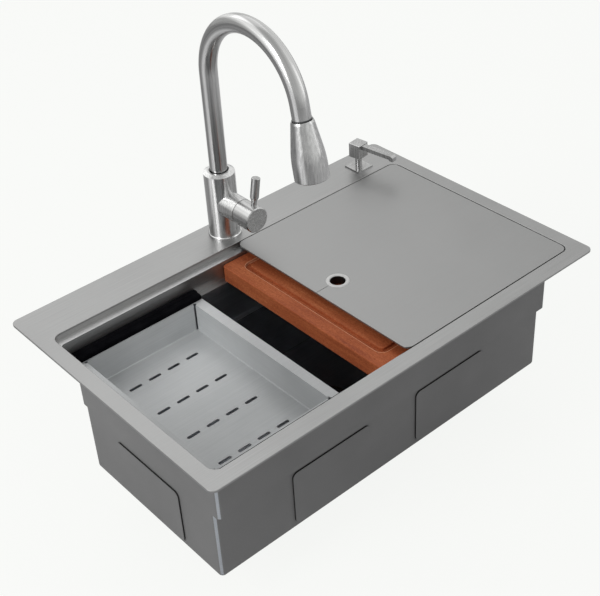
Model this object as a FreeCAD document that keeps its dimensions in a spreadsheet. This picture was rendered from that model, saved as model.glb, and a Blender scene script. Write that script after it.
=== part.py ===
import FreeCAD, Part
import math
import operator
import os

import Sketcher
from FreeCAD import Placement, Rotation, Vector

# Drop-in workstation sink with a swivel tap, a soap pump, a sliding cover,
# a cutting board and a colander. Millimetres. X runs left to right, Y from
# the front edge to the back, Z up. Z = 0 is the worktop plane under the rim
# seal, and X = Y = 0 is the middle of the rim in plan.

SIZES = {
    # rim and deck
    "sink_length": 680.0,
    "sink_width": 442.0,
    "rim_corner": 10.0,
    "deck_thick": 3.0,
    "deck_round": 0.8,
    "seal_thick": 1.5,
    "seal_wide": 8.0,
    "seal_inset": 2.0,
    "rim_side": 22.5,
    "rim_front": 24.8,
    "rim_back": 68.5,
    "recess_corner": 13.0,
    # bowl, from the deck's top face down
    "sheet": 1.5,
    "wall_corner": 5.0,
    "pan_round": 4.5,
    "pan_lip": 0.5,
    "cover_drop": 9.2,
    "rail_drop": 38.4,
    "step_drop": 106.8,
    "sink_depth": 220.8,
    "cover_ledge_side": 4.5,
    "cover_ledge_front": 7.9,
    "cover_ledge_back": 13.0,
    "rail_side": 10.5,
    "rail_front": 17.1,
    "rail_back": 10.4,
    "step_front": 10.2,
    "step_back": 8.0,
    # sound pads
    "pad_long": 136.0,
    "pad_height": 89.0,
    "pad_corner": 8.0,
    "pad_thick": 2.5,
    "pad_drop": 122.8,
    "pad_centre": 112.0,
    "floor_pad_long": 190.0,
    "floor_pad_wide": 200.0,
    "floor_pad_centre": 165.0,
    # drain
    "cup_radius": 44.0,
    "cup_bore": 41.0,
    "cup_deep": 46.0,
    "cup_flange_radius": 57.0,
    "cup_flange_thick": 2.0,
    "outlet_radius": 23.9,
    "outlet_bore": 20.0,
    "outlet_long": 24.0,
    "gasket_wide": 11.0,
    "gasket_thick": 3.0,
    "washer_thick": 1.5,
    "drain_nut_wide": 13.0,
    "drain_nut_high": 12.0,
    "basket_radius": 38.0,
    "basket_rim": 40.3,
    "basket_high": 26.0,
    "basket_sheet": 1.0,
    "basket_floor_drop": 34.0,
    "stopper_radius": 27.0,
    "stopper_thick": 5.0,
    "knob_radius": 10.0,
    "knob_high": 12.0,
    "basket_stem_radius": 3.0,
    # tap body
    "tap_x": 2.0,
    "tap_inset": 35.3,
    "tap_hole_radius": 17.5,
    "base_ring_radius": 24.6,
    "base_ring_high": 5.0,
    "body_radius": 22.9,
    "body_high": 107.0,
    "body_bevel": 5.4,
    "spout_bore": 14.5,
    "spout_seat": 75.5,
    "waterway_radius": 6.0,
    "valve_height": 56.3,
    "valve_radius": 19.0,
    "valve_reach": 46.9,
    "cartridge_back": 14.3,
    "cartridge_radius": 16.5,
    "rotor_radius": 12.0,
    "cartridge_pivot": 42.0,
    "stem_side": 6.5,
    "running_gap": 0.05,
    "fixed_gap": 0.1,
    "moving_gap": 0.3,
    "pivot_pin_radius": 1.5,
    # lever
    "lever_gap": 1.0,
    "cap_end": 80.0,
    "cap_bevel": 1.2,
    "lever_lean": 10.6,
    "lever_lift": 20.0,
    "screw_place": 61.0,
    "screw_radius": 2.5,
    "pin_place": 70.3,
    "pin_radius": 6.3,
    "pin_neck_radius": 4.0,
    "pin_reach": 61.7,
    # tap shank, under the deck
    "shank_radius": 14.0,
    "shank_bore": 11.0,
    "shank_drop": 62.0,
    "shank_rise": 18.0,
    "tap_washer_radius": 24.0,
    "tap_nut_radius": 21.0,
    "tap_nut_high": 10.0,
    "tail_radius": 4.5,
    "tail_bore": 3.2,
    "tail_spacing": 5.3,
    "tail_drop": 110.0,
    # spout
    "tube_radius": 12.7,
    "tube_bore": 11.2,
    "leg_high": 256.6,
    "arc_radius": 94.1,
    "arc_turn": 170.0,
    "tube_tail": 17.3,
    "hose_radius": 6.5,
    "hose_bore": 4.0,
    # spray head
    "collar_thick": 1.5,
    "collar_radius": 13.2,
    "collar_spigot": 12.0,
    "head_top_radius": 14.3,
    "head_neck_radius": 15.5,
    "head_neck_drop": 3.0,
    "head_cone_radius": 20.9,
    "head_cone_drop": 36.0,
    "head_radius": 23.1,
    "head_flare": 62.0,
    "head_high": 80.0,
    "head_bore": 8.3,
    "throat_drop": 16.0,
    "throat_step": 4.2,
    "face_radius": 20.6,
    "jet_radius": 0.8,
    "outer_jets": 24,
    "inner_jets": 14,
    # soap pump
    "pump_inset": 38.5,
    "pump_end_inset": 70.0,
    "pump_plate_side": 31.0,
    "pump_plate_thick": 2.0,
    "pump_shank_radius": 11.0,
    "pump_shank_bore": 8.6,
    "pump_shank_drop": 50.0,
    "pump_nut_radius": 19.0,
    "pump_nut_high": 8.0,
    "pump_stem_radius": 5.3,
    "pump_barrel_radius": 7.6,
    "pump_barrel_drop": 78.0,
    "spring_wire": 0.5,
    "spring_turns": 11,
    "pump_turn": 7.9,
    "pump_head_side": 21.2,
    "pump_head_bottom": 19.6,
    "pump_head_top": 43.5,
    "nozzle_wide": 10.0,
    "nozzle_high": 6.5,
    "nozzle_reach": 71.0,
    "bottle_radius": 28.0,
    "bottle_drop": 190.0,
    "bottle_wall": 1.6,
    "bottle_neck": 16.0,
    "bottle_slope": 14.0,
    "piston_drop": 12.0,
    # cover
    "cover_left": -4.5,
    "cover_gap": 1.5,
    "cover_sheet": 1.2,
    "cover_lip": 2.6,
    "finger_inset": 39.7,
    "finger_radius": 10.6,
    "grommet_radius": 16.4,
    "grommet_sleeve": 13.2,
    "grommet_deep": 12.4,
    # cutting board
    "board_left": -43.3,
    "board_wide": 230.0,
    "board_thick": 24.0,
    "corner_extra": 1.0,
    "board_round": 1.5,
    "groove_inset": 20.0,
    "groove_wide": 8.0,
    "groove_deep": 4.0,
    "slide_gap": 0.9,
    # colander
    "colander_wide": 216.5,
    "colander_sheet": 1.2,
    "colander_left_flange": 20.3,
    "colander_right_flange": 15.5,
    "colander_front_flange": 26.1,
    "colander_back_flange": 20.0,
    "colander_deep": 44.5,
    "slot_long": 20.0,
    "slot_wide": 5.0,
    "slot_pitch_x": 31.75,
    "slot_pitch_y": 64.6,
    "slot_columns": 4,
    "slot_rows": 4,
    "fold_radius": 1.4,
    "relief_extra": 0.8,
    "strip_high": 9.0,
    "strip_step": 1.6,
    "strip_back_margin": 2.9,
    "strip_front_margin": 6.9,
    "strip_inset": 1.0,
}

doc = FreeCAD.newDocument("WorkstationSink")
sheet = doc.addObject("Spreadsheet::Sheet", "Sizes")
for row, (alias, number) in enumerate(SIZES.items(), 1):
    sheet.set(f"A{row}", alias)
    sheet.set(f"B{row}", str(number))
    sheet.setAlias(f"B{row}", alias)
doc.recompute()


# ---- lengths that carry their formula -------------------------------------

OPERATIONS = {
    "+": operator.add,
    "-": operator.sub,
    "*": operator.mul,
    "/": operator.truediv,
}


class Size:
    """A number together with the sheet formula that gives it."""

    def __init__(self, value, formula):
        self.value = value
        self.formula = formula

    def __add__(self, other):
        return combined(self, "+", other)

    def __radd__(self, other):
        return combined(other, "+", self)

    def __sub__(self, other):
        return combined(self, "-", other)

    def __rsub__(self, other):
        return combined(other, "-", self)

    def __mul__(self, other):
        return combined(self, "*", other)

    def __rmul__(self, other):
        return combined(other, "*", self)

    def __truediv__(self, other):
        return combined(self, "/", other)

    def __neg__(self):
        return combined(0.0, "-", self)


def as_size(number):
    if isinstance(number, Size):
        return number
    return Size(float(number), f"({float(number):.6f})")


def combined(left, sign, right):
    left = as_size(left)
    right = as_size(right)
    value = OPERATIONS[sign](left.value, right.value)
    return Size(value, f"({left.formula} {sign} {right.formula})")


def cosine(angle):
    angle = as_size(angle)
    return Size(math.cos(math.radians(angle.value)), f"cos({angle.formula})")


def sine(angle):
    angle = as_size(angle)
    return Size(math.sin(math.radians(angle.value)), f"sin({angle.formula})")


class Sheet:
    """Reads each size of the sheet by its name."""

    def __getattr__(self, alias):
        return Size(float(SIZES[alias]), f"Sizes.{alias}")


s = Sheet()


# ---- sketches and features --------------------------------------------------

def new_name(text):
    """A document name that is still free."""
    number = 1
    while doc.getObject(f"{text}_{number}"):
        number += 1
    return f"{text}_{number}"


def new_body(label):
    body = doc.addObject("PartDesign::Body", label)
    body.Label = label
    return body


def plane_of(body, role):
    return [item for item in body.Origin.OriginFeatures if item.Role == role][0]


def sketch_on(body, role="XY_Plane", offset=0.0):
    sketch = body.newObject("Sketcher::SketchObject", new_name(body.Name + "_sketch"))
    sketch.AttachmentSupport = [(plane_of(body, role), "")]
    sketch.MapMode = "FlatFace"
    sketch.setExpression("AttachmentOffset.Base.z", as_size(offset).formula)
    return sketch


def hold(sketch, geometry, end, x, y):
    """Fix one point of a sketch by two sizes from the origin."""
    for kind, size in (("DistanceX", as_size(x)), ("DistanceY", as_size(y))):
        rule = Sketcher.Constraint(kind, -1, 1, geometry, end, size.value)
        index = sketch.addConstraint(rule)
        sketch.setExpression(f"Constraints[{index}]", size.formula)


def hold_radius(sketch, geometry, radius):
    radius = as_size(radius)
    index = sketch.addConstraint(Sketcher.Constraint("Radius", geometry, radius.value))
    sketch.setExpression(f"Constraints[{index}]", radius.formula)


def point_of(corner):
    return Vector(as_size(corner[0]).value, as_size(corner[1]).value, 0)


def bowed(start, end, radius):
    """Arc from start to end; its centre lies left of the way if radius > 0."""
    way = end - start
    side = Vector(-way.y, way.x, 0).normalize()
    reach = math.sqrt(max(radius * radius - way.Length ** 2 / 4, 0))
    centre = start + way * 0.5 + side * math.copysign(reach, radius)
    first = start if radius > 0 else end
    last = end if radius > 0 else start
    turn = [math.atan2(at.y - centre.y, at.x - centre.x) for at in (first, last)]
    circle = Part.Circle(centre, Vector(0, 0, 1), abs(radius))
    return Part.ArcOfCircle(circle, turn[0], turn[1])


def outline(sketch, corners):
    """Closed profile. A corner's third value bows the side that follows it."""
    base = sketch.GeometryCount
    count = len(corners)
    ends = []
    for index, corner in enumerate(corners):
        start = point_of(corner)
        end = point_of(corners[(index + 1) % count])
        if len(corner) == 3:
            radius = as_size(corner[2])
            sketch.addGeometry(bowed(start, end, radius.value), False)
            hold_radius(sketch, base + index, radius if radius.value > 0 else -radius)
            ends.append((1, 2) if radius.value > 0 else (2, 1))
        else:
            sketch.addGeometry(Part.LineSegment(start, end), False)
            ends.append((1, 2))
    for index in range(count):
        follower = (index + 1) % count
        rule = ("Coincident", base + index, ends[index][1], base + follower, ends[follower][0])
        sketch.addConstraint(Sketcher.Constraint(*rule))
    for index, corner in enumerate(corners):
        hold(sketch, base + index, ends[index][0], corner[0], corner[1])


def circle(sketch, x, y, radius):
    geometry = sketch.GeometryCount
    centre = point_of((x, y))
    sketch.addGeometry(Part.Circle(centre, Vector(0, 0, 1), as_size(radius).value), False)
    hold(sketch, geometry, 3, x, y)
    hold_radius(sketch, geometry, radius)


def draw(sketch, shapes):
    """Draw closed outlines (lists) and circles (tuples of x, y, radius)."""
    for shape in shapes:
        if isinstance(shape, tuple):
            circle(sketch, *shape)
        else:
            outline(sketch, shape)


def box_outline(left, right, front, back):
    return [(left, front), (right, front), (right, back), (left, back)]


def rounded(left, right, front, back, radius):
    """Rectangle with round corners."""
    return [
        (left + radius, front),
        (right - radius, front, radius),
        (right, front + radius),
        (right, back - radius, radius),
        (right - radius, back),
        (left + radius, back, radius),
        (left, back - radius),
        (left, front + radius, radius),
    ]


def grown(edges, by):
    """Move the four edges of a rectangle outwards."""
    left, right, front, back = edges
    return left - by, right + by, front - by, back + by


def prism(body, shapes, low, high, role="XY_Plane"):
    """Add material between two heights over the plane."""
    sketch = sketch_on(body, role, low)
    draw(sketch, shapes)
    pad = body.newObject("PartDesign::Pad", new_name(body.Name + "_pad"))
    pad.Profile = sketch
    pad.setExpression("Length", (as_size(high) - low).formula)
    return pad


def cavity(body, shapes, low, high, role="XY_Plane"):
    """Take material away between two heights over the plane."""
    sketch = sketch_on(body, role, high)
    draw(sketch, shapes)
    pocket = body.newObject("PartDesign::Pocket", new_name(body.Name + "_pocket"))
    pocket.Profile = sketch
    pocket.setExpression("Length", (as_size(high) - low).formula)
    return pocket


def revolve(body, corners):
    """Turn a profile of radius and height round the body's Z axis."""
    sketch = sketch_on(body, "XZ_Plane")
    outline(sketch, corners)
    turn = body.newObject("PartDesign::Revolution", new_name(body.Name + "_turn"))
    turn.Profile = sketch
    turn.ReferenceAxis = (sketch, ["V_Axis"])
    turn.Angle = 360
    return turn


def turned(label, corners):
    body = new_body(label)
    revolve(body, corners)
    return body


def ring(label, bore, radius, low, high):
    """Plain turned ring."""
    return turned(label, [(bore, low), (radius, low), (radius, high), (bore, high)])


def polar(body, pocket, count):
    """Repeat a pocket evenly round the body's Z axis."""
    pattern = body.newObject("PartDesign::PolarPattern", new_name(body.Name + "_round"))
    pattern.Originals = [pocket]
    pattern.Axis = (pocket.Profile[0], ["N_Axis"])
    pattern.Angle = 360
    pattern.setExpression("Occurrences", as_size(count).formula)
    body.Tip = pattern
    return pattern


def round_edges(body, radius, chosen):
    """Fillet the edges of the body that the test chooses."""
    doc.recompute()
    base = body.Tip
    names = []
    for number, edge in enumerate(base.Shape.Edges, 1):
        if chosen(edge):
            names.append(f"Edge{number}")
    fillet = body.newObject("PartDesign::Fillet", new_name(body.Name + "_fillet"))
    fillet.Base = (base, names)
    fillet.setExpression("Radius", as_size(radius).formula)
    return fillet


def flat_at(height):
    """Test for straight and quarter-round edges that lie at one height."""
    level = as_size(height).value

    def test(edge):
        box = edge.BoundBox
        whole = len(edge.Vertexes) == 1
        return not whole and abs(box.ZMin - level) < 1e-4 and abs(box.ZMax - level) < 1e-4
    return test


def place(item, x, y, z, axis=None, angle=0.0):
    """Set a sub-part in its place, with one bound turn about an axis."""
    if axis is not None:
        item.Placement = Placement(Vector(0, 0, 0), Rotation(axis, as_size(angle).value))
        item.setExpression("Placement.Rotation.Angle", as_size(angle).formula)
    for letter, size in zip("xyz", (x, y, z)):
        item.setExpression(f"Placement.Base.{letter}", as_size(size).formula)


def group(label, members):
    """One sub-part of several separate solids."""
    compound = doc.addObject("Part::Compound", label)
    compound.Label = label
    compound.Links = members
    return compound


# ---- levels and plan of the sink -------------------------------------------

deck_top = s.seal_thick + s.deck_thick
cover_ledge = deck_top - s.cover_drop
rail_ledge = deck_top - s.rail_drop
step_ledge = deck_top - s.step_drop
bowl_bottom = deck_top - s.sink_depth
floor_top = bowl_bottom + s.sheet

rim_edges = (-s.sink_length / 2, s.sink_length / 2, -s.sink_width / 2, s.sink_width / 2)
recess_edges = (
    rim_edges[0] + s.rim_side,
    rim_edges[1] - s.rim_side,
    rim_edges[2] + s.rim_front,
    rim_edges[3] - s.rim_back,
)
upper_edges = (
    recess_edges[0] + s.cover_ledge_side,
    recess_edges[1] - s.cover_ledge_side,
    recess_edges[2] + s.cover_ledge_front,
    recess_edges[3] - s.cover_ledge_back,
)
middle_edges = (
    upper_edges[0] + s.rail_side,
    upper_edges[1] - s.rail_side,
    upper_edges[2] + s.rail_front,
    upper_edges[3] - s.rail_back,
)
lower_edges = (
    middle_edges[0],
    middle_edges[1],
    middle_edges[2] + s.step_front,
    middle_edges[3] - s.step_back,
)
drain_y = (lower_edges[2] + lower_edges[3]) / 2
tap_y = rim_edges[3] - s.tap_inset
pump_x = rim_edges[1] - s.pump_end_inset
pump_y = rim_edges[3] - s.pump_inset


# ---- deck panel and rim seal -------------------------------------------------

def make_deck_panel():
    body = new_body("deck_panel")
    prism(body, [rounded(*rim_edges, s.rim_corner)], s.seal_thick, deck_top)
    openings = [
        rounded(*recess_edges, s.recess_corner),
        (s.tap_x, tap_y, s.tap_hole_radius),
        (pump_x, pump_y, s.pump_shank_radius + s.moving_gap),
    ]
    cavity(body, openings, s.seal_thick, deck_top)
    round_edges(body, s.deck_round, flat_at(deck_top))
    return body


def make_rim_seal():
    body = new_body("rim_seal")
    outside = grown(rim_edges, -s.seal_inset)
    inside = grown(outside, -s.seal_wide)
    outer = rounded(*outside, s.rim_corner - s.seal_inset)
    prism(body, [outer, box_outline(*inside)], 0.0, s.seal_thick)
    return body


# ---- the four welded tiers of the bowl ---------------------------------------

def make_tier(label, wide, corner, narrow, high, ledge):
    """Upright wall round the wide outline, standing on a flat ledge that
    reaches in to the narrow one."""
    body = new_body(label)
    low = ledge - s.sheet
    prism(body, [rounded(*grown(wide, s.sheet), corner + s.sheet)], low, high)
    cavity(body, [rounded(*wide, corner)], ledge, high)
    cavity(body, [rounded(*narrow, s.wall_corner)], low, high)
    return body


def wall_sheets(name, edges, low, high):
    """Upright sheets round an outline: four flat ones and four bent corners."""
    left, right, front, back = edges
    inner = s.wall_corner
    outer = inner + s.sheet
    plans = [
        box_outline(left + inner, right - inner, front - s.sheet, front),
        box_outline(left + inner, right - inner, back, back + s.sheet),
        box_outline(left - s.sheet, left, front + inner, back - inner),
        box_outline(right, right + s.sheet, front + inner, back - inner),
    ]
    for x, way_x in ((left + inner, -1), (right - inner, 1)):
        for y, way_y in ((front + inner, -1), (back - inner, 1)):
            turn = way_x * way_y
            plans.append([
                (x + way_x * outer, y, turn * outer),
                (x, y + way_y * outer),
                (x, y + way_y * inner, -turn * inner),
                (x + way_x * inner, y),
            ])
    return [sheet_piece(name, plan, low, high) for plan in plans]


def sheet_piece(name, plan, low, high):
    body = new_body(new_name(name))
    prism(body, [plan], low, high)
    return body


def make_bowl_band():
    """Upper band of the bowl, welded from sheets on a flat step."""
    sheets = wall_sheets("band_wall", middle_edges, step_ledge, rail_ledge - s.sheet)
    left, right, front, back = grown(middle_edges, s.sheet)
    low = step_ledge - s.sheet
    round_end = s.wall_corner + s.sheet
    inner = s.wall_corner
    plans = []
    for edge, way, reach in ((front, 1, lower_edges[2]), (back, -1, lower_edges[3])):
        plans.append([
            (left, reach),
            (left, edge + way * round_end, way * round_end),
            (left + round_end, edge),
            (right - round_end, edge, way * round_end),
            (right, edge + way * round_end),
            (right, reach),
        ])
    plans.append(box_outline(left, lower_edges[0], lower_edges[2], lower_edges[3]))
    plans.append(box_outline(lower_edges[1], right, lower_edges[2], lower_edges[3]))
    for x, way_x in ((lower_edges[0], 1), (lower_edges[1], -1)):
        for y, way_y in ((lower_edges[2], 1), (lower_edges[3], -1)):
            turn = way_x * way_y
            plans.append([
                (x, y),
                (x + way_x * inner, y, -turn * inner),
                (x, y + way_y * inner),
            ])
    sheets.extend([sheet_piece("step", plan, low, step_ledge) for plan in plans])
    return group("bowl_band", sheets)


pan_seam = bowl_bottom + s.pan_round + s.pan_lip


def make_bowl_pan():
    """Walls of the lower bowl, from the step down to the floor's edge."""
    return group("bowl_pan", wall_sheets("pan_wall", lower_edges, pan_seam, step_ledge - s.sheet))


def make_bowl_floor():
    """Pressed floor with a rounded edge, welded to the walls along its lip."""
    body = new_body("bowl_floor")
    outside = rounded(*grown(lower_edges, s.sheet), s.wall_corner + s.sheet)
    prism(body, [outside], bowl_bottom, pan_seam)
    cavity(body, [rounded(*lower_edges, s.wall_corner)], floor_top, pan_seam)
    round_edges(body, s.pan_round, flat_at(bowl_bottom))
    round_edges(body, s.pan_round - s.sheet, flat_at(floor_top))
    cavity(body, [(as_size(0), drain_y, s.cup_radius + s.moving_gap)], bowl_bottom, floor_top)
    return body


# ---- sound pads ---------------------------------------------------------------

def pad_sheet(name, role, across, up, near):
    """Rubber sheet with round corners, its near face at a distance from the plane."""
    body = new_body(new_name(name))
    prism(body, [rounded(*across, *up, s.pad_corner)], near, near + s.pad_thick, role)
    return body


def make_sound_pads():
    """Rubber sheets glued to the outside of the lower bowl."""
    left, right, front, back = grown(lower_edges, s.sheet)
    high = deck_top - s.pad_drop
    up = (high - s.pad_height, high)
    half = s.pad_long / 2
    fronts = []
    backs = []
    for centre in (-s.pad_centre, s.pad_centre):
        across = (centre - half, centre + half)
        fronts.append(pad_sheet("front_pad", "XZ_Plane", across, up, -front))
        backs.append(pad_sheet("back_pad", "XZ_Plane", across, up, -back - s.pad_thick))
    across = (drain_y - half, drain_y + half)
    sides = [
        pad_sheet("side_pad", "YZ_Plane", across, up, left - s.pad_thick),
        pad_sheet("side_pad", "YZ_Plane", across, up, right),
    ]
    floors = []
    half = s.floor_pad_long / 2
    deep = (drain_y - s.floor_pad_wide / 2, drain_y + s.floor_pad_wide / 2)
    for centre in (-s.floor_pad_centre, s.floor_pad_centre):
        across = (centre - half, centre + half)
        near = bowl_bottom - s.pad_thick
        floors.append(pad_sheet("floor_pad", "XY_Plane", across, deep, near))
    return [
        group("front_sound_pads", fronts),
        group("back_sound_pads", backs),
        group("side_sound_pads", sides),
        group("floor_sound_pads", floors),
    ]


# ---- drain ----------------------------------------------------------------------

def make_drain_cup():
    """Turned about the drain axis; heights are from the bowl's floor."""
    outlet_end = -s.cup_deep - s.outlet_long
    return turned("drain_cup", [
        (s.outlet_bore, outlet_end),
        (s.outlet_radius, outlet_end),
        (s.outlet_radius, -s.cup_deep - 3.0),
        (s.cup_radius, -s.cup_deep),
        (s.cup_radius, as_size(0)),
        (s.cup_flange_radius, as_size(0)),
        (s.cup_flange_radius - 1.5, s.cup_flange_thick),
        (s.cup_bore + 3.0, s.cup_flange_thick),
        (s.cup_bore, s.cup_flange_thick - 4.0),
        (s.cup_bore, 2.5 - s.cup_deep),
        (s.stopper_radius, 1.0 - s.cup_deep),
        (s.outlet_bore, 0.5 - s.cup_deep),
    ])


def make_drain_stack():
    """Gasket, friction washer and lock nut, from the floor's underside down."""
    bore = s.cup_radius + s.fixed_gap
    under = -s.sheet
    gasket_low = under - s.gasket_thick
    washer_low = gasket_low - s.washer_thick
    nut_low = washer_low - s.drain_nut_high
    gasket = ring("drain_gasket", bore, bore + s.gasket_wide, gasket_low, under)
    washer = ring("drain_washer", bore, bore + s.gasket_wide, washer_low, gasket_low)
    nut = ring("drain_nut", bore, bore + s.drain_nut_wide, nut_low, washer_low)
    notch = cavity(nut, [(bore + s.drain_nut_wide + 2.0, as_size(0), as_size(5.0))],
                   nut_low, washer_low)
    polar(nut, notch, 12)
    return [gasket, washer, nut]


def make_basket():
    """Strainer basket on its stem, with a knob above and a stopper below."""
    low = -s.basket_floor_drop
    high = low + s.basket_high
    thick = s.basket_sheet
    shell = turned("strainer_basket", [
        (s.basket_stem_radius + s.fixed_gap, low),
        (s.basket_radius - 4.0, low, s.basket_radius / 8),
        (s.basket_radius, low + 4.0),
        (s.basket_radius, high - thick),
        (s.basket_rim, high - thick),
        (s.basket_rim, high),
        (s.basket_radius - thick, high),
        (s.basket_radius - thick, low + 4.0, -s.basket_radius / 8),
        (s.basket_radius - 4.0, low + thick),
        (s.basket_stem_radius + s.fixed_gap, low + thick),
    ])
    for radius, count in ((0.30, 8), (0.52, 14), (0.74, 20)):
        hole = cavity(shell, [(s.basket_radius * radius, as_size(0), as_size(2.0))],
                      low, low + thick)
        polar(shell, hole, count)
    knob_low = high - 4.0
    knob = turned("basket_knob", [
        (as_size(0), knob_low),
        (s.basket_stem_radius + 1.5, knob_low),
        (s.basket_stem_radius + 1.5, knob_low + 4.0),
        (s.knob_radius, knob_low + 7.0, s.knob_high),
        (s.knob_radius - 4.0, knob_low + s.knob_high),
        (as_size(0), knob_low + s.knob_high),
    ])
    seat = 1.0 - s.cup_deep + s.moving_gap
    stem = turned("basket_stem", [
        (as_size(0), seat + s.stopper_thick / 2),
        (s.basket_stem_radius, seat + s.stopper_thick / 2),
        (s.basket_stem_radius, knob_low),
        (as_size(0), knob_low),
    ])
    stopper = turned("basket_stopper", [
        (as_size(0), seat),
        (s.stopper_radius - 3.0, seat),
        (s.stopper_radius, seat + 1.5),
        (s.stopper_radius - 2.0, seat + s.stopper_thick),
        (s.basket_stem_radius + s.fixed_gap, seat + s.stopper_thick),
        (s.basket_stem_radius + s.fixed_gap, seat + s.stopper_thick / 2),
        (as_size(0), seat + s.stopper_thick / 2),
    ])
    return [shell, knob, stem, stopper]


# ---- tap body ---------------------------------------------------------------------

def make_tap_base_ring():
    return turned("tap_base_ring", [
        (s.tap_hole_radius, as_size(0)),
        (s.base_ring_radius, as_size(0)),
        (s.base_ring_radius, s.base_ring_high - 1.0),
        (s.base_ring_radius - 0.8, s.base_ring_high),
        (s.tap_hole_radius, s.base_ring_high),
    ])


def make_tap_body():
    """Column with the valve stub on its front; heights are from the deck."""
    body = turned("tap_body", [
        (as_size(0), s.base_ring_high),
        (s.body_radius, s.base_ring_high),
        (s.body_radius, s.body_high - s.body_bevel * 0.65),
        (s.body_radius - s.body_bevel, s.body_high),
        (as_size(0), s.body_high),
    ])
    axis = (as_size(0), s.valve_height)
    prism(body, [(*axis, s.valve_radius)], 0.0, s.valve_reach, "XZ_Plane")
    cavity(body, [(*axis, s.cartridge_radius)], s.cartridge_back, s.valve_reach, "XZ_Plane")
    centre = (as_size(0), as_size(0))
    cavity(body, [(*centre, s.spout_bore)], s.spout_seat, s.body_high)
    cavity(body, [(*centre, s.waterway_radius)], s.base_ring_high, s.spout_seat)
    cavity(body, [(*axis, s.waterway_radius)], 0.0, s.cartridge_back + 1.0, "XZ_Plane")
    shank = s.shank_radius + s.fixed_gap
    cavity(body, [(*centre, shank)], s.base_ring_high, s.shank_rise + 1.0)
    return body


def make_spout_bearing():
    """Two plastic bushes and the O-ring between them, in the column's bore."""
    bore = s.tube_radius + s.running_gap
    outside = s.spout_bore - s.running_gap
    section = (outside - bore) / 2
    ring_height = s.spout_seat + 11.5
    lower = ring("lower_spout_bush", bore, outside, s.spout_seat, ring_height - section)
    upper = ring("upper_spout_bush", bore, outside, ring_height + section, s.body_high - 6.0)
    seal = new_body("spout_o_ring")
    sketch = sketch_on(seal, "XZ_Plane")
    circle(sketch, bore + section, ring_height, section)
    turn = seal.newObject("PartDesign::Revolution", "spout_o_ring_turn")
    turn.Profile = sketch
    turn.ReferenceAxis = (sketch, ["V_Axis"])
    turn.Angle = 360
    return [lower, upper, seal]


def make_tap_shank():
    """Threaded tube through the deck with its washers, nut and two tails."""
    drop = -s.shank_drop
    shank = ring("tap_shank", s.shank_bore, s.shank_radius, drop, s.shank_rise)
    bore = s.shank_radius + s.fixed_gap
    under = -s.deck_thick
    rubber_low = under - 3.0
    plate_low = rubber_low - 2.0
    rubber = ring("tap_rubber_washer", bore, s.tap_washer_radius, rubber_low, under)
    plate = ring("tap_steel_washer", bore, s.tap_washer_radius, plate_low, rubber_low)
    nut = new_body("tap_nut")
    corners = []
    for corner in range(6):
        turn = math.radians(60 * corner)
        corners.append((s.tap_nut_radius * math.cos(turn), s.tap_nut_radius * math.sin(turn)))
    bored = (as_size(0), as_size(0), bore)
    prism(nut, [corners, bored], plate_low - s.tap_nut_high, plate_low)
    tails = []
    for side in (-1, 1):
        tail = new_body(f"supply_tail_{side + 2}")
        centre = (s.tail_spacing * side, as_size(0))
        circles = [(*centre, s.tail_radius), (*centre, s.tail_bore)]
        prism(tail, circles, -s.tail_drop, s.shank_rise - 2.0)
        place(tail, s.tap_x, tap_y, deck_top)
        tails.append(tail)
    return [shank, rubber, plate, nut], group("supply_tails", tails)


# ---- valve cartridge and lever -------------------------------------------------------

def make_cartridge():
    """Housing, nut and rotor; heights run forwards from the column's axis."""
    rim = s.cartridge_radius - s.fixed_gap
    mouth = s.valve_reach - 4.4
    floor = s.cartridge_back + s.fixed_gap
    housing = turned("cartridge_housing", [
        (as_size(0), floor),
        (rim, floor),
        (rim, mouth - s.fixed_gap),
        (s.rotor_radius, mouth - s.fixed_gap),
        (s.rotor_radius, floor + 2.5),
        (as_size(0), floor + 2.5),
    ])
    nut = ring("cartridge_nut", s.rotor_radius, rim, mouth, s.valve_reach - 0.2)
    rotor = new_body("cartridge_rotor")
    back = floor + 3.0
    front = s.valve_reach - 0.6
    middle = (as_size(0), as_size(0))
    prism(rotor, [(*middle, s.rotor_radius - s.running_gap)], back, front)
    slot = s.stem_side / 2 + s.moving_gap
    cavity(rotor, [box_outline(-slot, slot, as_size(-9.5), as_size(9.5))], back + 8.0, front)
    hole = s.pivot_pin_radius + s.running_gap
    reach = s.rotor_radius + 1.0
    cavity(rotor, [(as_size(0), s.cartridge_pivot, hole)], -reach, reach, "YZ_Plane")
    pin = new_body("cartridge_pin")
    half = s.rotor_radius - 1.0
    prism(pin, [(as_size(0), s.cartridge_pivot, s.pivot_pin_radius)], -half, half, "YZ_Plane")
    return [housing, nut], [rotor, pin]


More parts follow.
